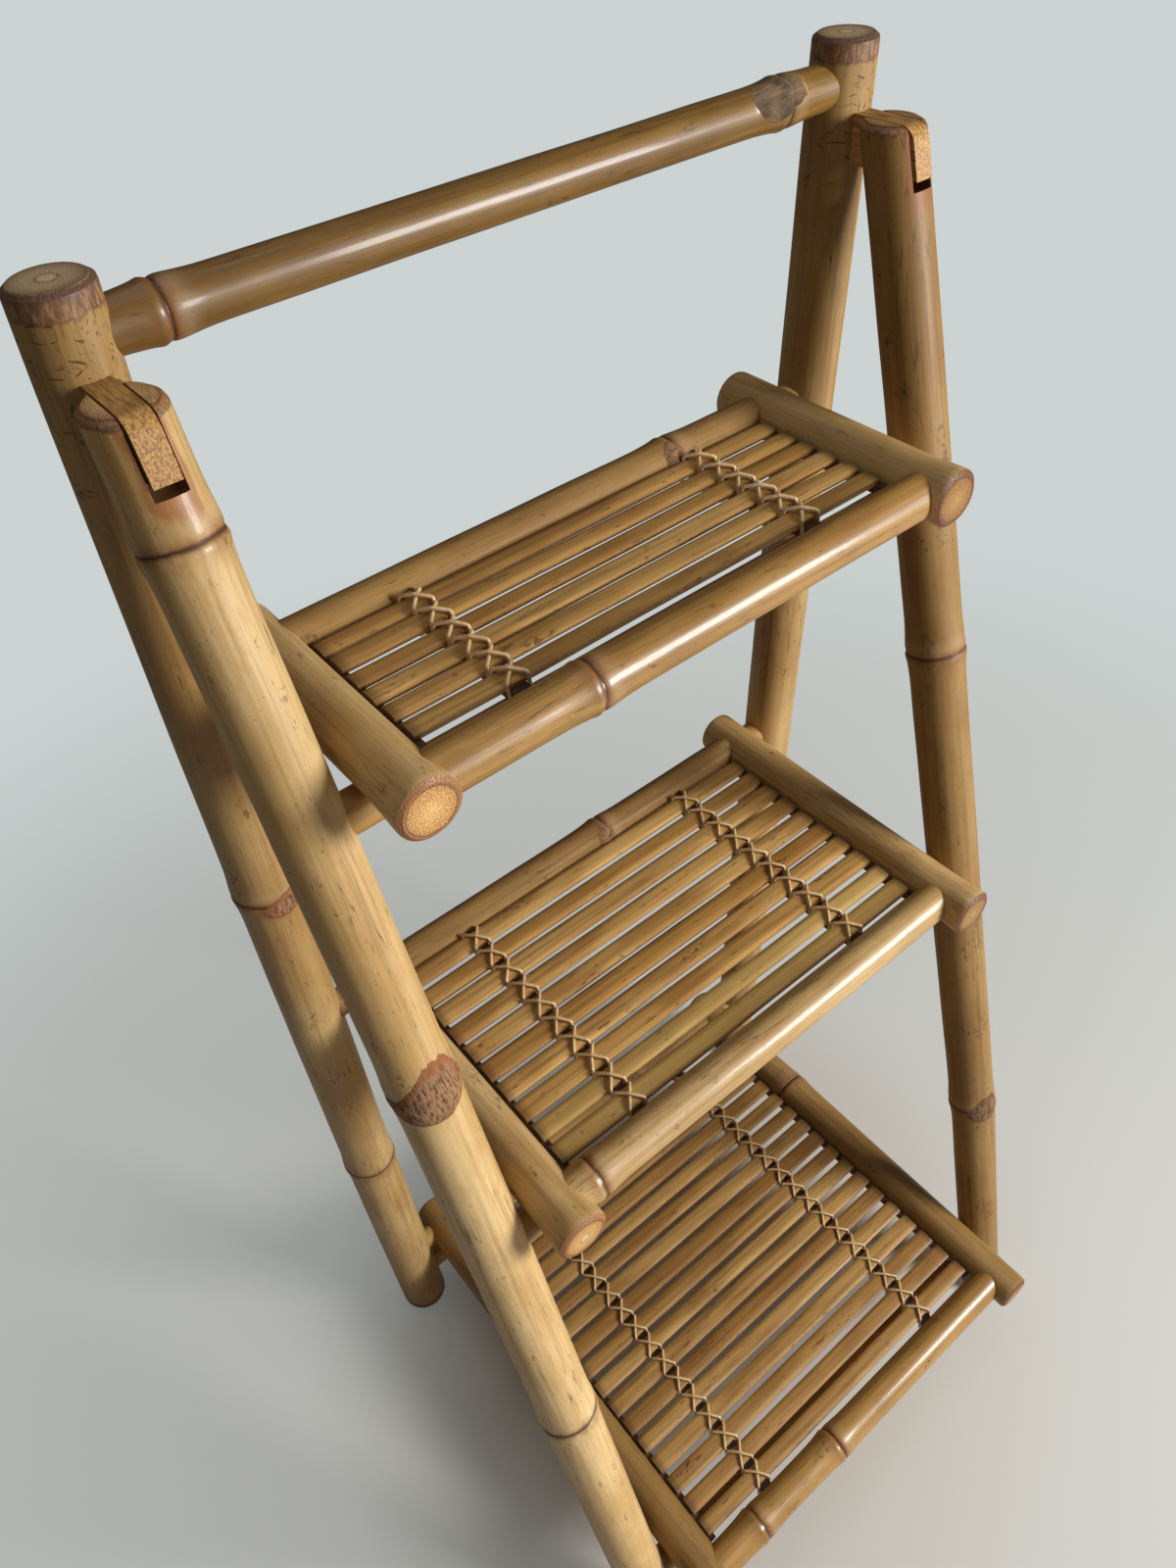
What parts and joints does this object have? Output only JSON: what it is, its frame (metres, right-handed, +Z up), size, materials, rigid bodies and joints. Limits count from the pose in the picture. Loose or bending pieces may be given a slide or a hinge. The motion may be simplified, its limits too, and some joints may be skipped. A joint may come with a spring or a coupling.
{
  "type": "folding ladder shelf",
  "caption": "Folding bamboo ladder shelf: a leaning leg frame hinged to a rear frame, with slatted shelves that deepen towards the floor and lift flat to fold.",
  "frame": {"origin": "centre of the bounding box at floor level, under the middle of the shelf", "axes": "+Z up, +X to the right seen from the front, +Y towards the rear legs"},
  "size_m": [0.4266, 0.375, 0.92],
  "materials": {
    "leg_bamboo": "satin varnished bamboo culm, pale honey",
    "rail_bamboo": "glossy varnished bamboo culm, brown gold",
    "split_bamboo": "varnished split bamboo slats, brown gold",
    "dark_stick": "dark brown round and flat sticks",
    "hinge_wood": "cut bamboo with bare end grain",
    "cane_strand": "thin beige cane strand"
  },
  "bodies": {
    "rear_frame": {"handle_rail": "rail_bamboo", "hinge_tongue_left": "hinge_wood", "hinge_tongue_right": "hinge_wood", "rear_leg_left": "leg_bamboo", "rear_leg_right": "leg_bamboo", "rear_stretcher": "rail_bamboo"},
    "front_frame": {"bottom_crossbar": "rail_bamboo", "front_leg_left": "leg_bamboo", "front_leg_right": "leg_bamboo", "hinge_pin_left": "hinge_wood", "hinge_pin_right": "hinge_wood", "middle_crossbar": "rail_bamboo", "top_crossbar": "rail_bamboo"},
    "top_shelf": {"top_shelf_batten_left": "dark_stick", "top_shelf_batten_right": "dark_stick", "top_shelf_front_rail": "rail_bamboo", "top_shelf_lashing_left": "cane_strand", "top_shelf_lashing_right": "cane_strand", "top_shelf_ledge_left": "dark_stick", "top_shelf_ledge_right": "dark_stick", "top_shelf_rear_rail": "rail_bamboo", "top_shelf_side_rail_left": "rail_bamboo", "top_shelf_side_rail_right": "rail_bamboo", "top_shelf_slats": "split_bamboo"},
    "middle_shelf": {"middle_shelf_batten_left": "dark_stick", "middle_shelf_batten_right": "dark_stick", "middle_shelf_front_rail": "rail_bamboo", "middle_shelf_lashing_left": "cane_strand", "middle_shelf_lashing_right": "cane_strand", "middle_shelf_ledge_left": "dark_stick", "middle_shelf_ledge_right": "dark_stick", "middle_shelf_rear_rail": "rail_bamboo", "middle_shelf_side_rail_left": "rail_bamboo", "middle_shelf_side_rail_right": "rail_bamboo", "middle_shelf_slats": "split_bamboo"},
    "bottom_shelf": {"bottom_shelf_batten_left": "dark_stick", "bottom_shelf_batten_right": "dark_stick", "bottom_shelf_front_rail": "rail_bamboo", "bottom_shelf_lashing_left": "cane_strand", "bottom_shelf_lashing_right": "cane_strand", "bottom_shelf_ledge_left": "dark_stick", "bottom_shelf_ledge_right": "dark_stick", "bottom_shelf_rear_rail": "rail_bamboo", "bottom_shelf_side_rail_left": "rail_bamboo", "bottom_shelf_side_rail_right": "rail_bamboo", "bottom_shelf_slats": "split_bamboo"}
  },
  "joints": [
    {"name": "front_frame_fold", "type": "hinge", "parent": "rear_frame", "child": "front_frame", "pos_m": [0, 0.09648, 0.8775], "axis": [1, 0, 0], "range_deg": [0, 18.2]},
    {"name": "top_shelf_fold", "type": "hinge", "parent": "rear_frame", "child": "top_shelf", "pos_m": [0, 0.13994, 0.739], "axis": [-1, 0, 0], "range_deg": [0, 87.6]},
    {"name": "middle_shelf_fold", "type": "hinge", "parent": "rear_frame", "child": "middle_shelf", "pos_m": [0, 0.15098, 0.4675], "axis": [-1, 0, 0], "range_deg": [0, 87.6]},
    {"name": "bottom_shelf_fold", "type": "hinge", "parent": "rear_frame", "child": "bottom_shelf", "pos_m": [0, 0.16637, 0.089], "axis": [-1, 0, 0], "range_deg": [0, 87.6]}
  ]
}
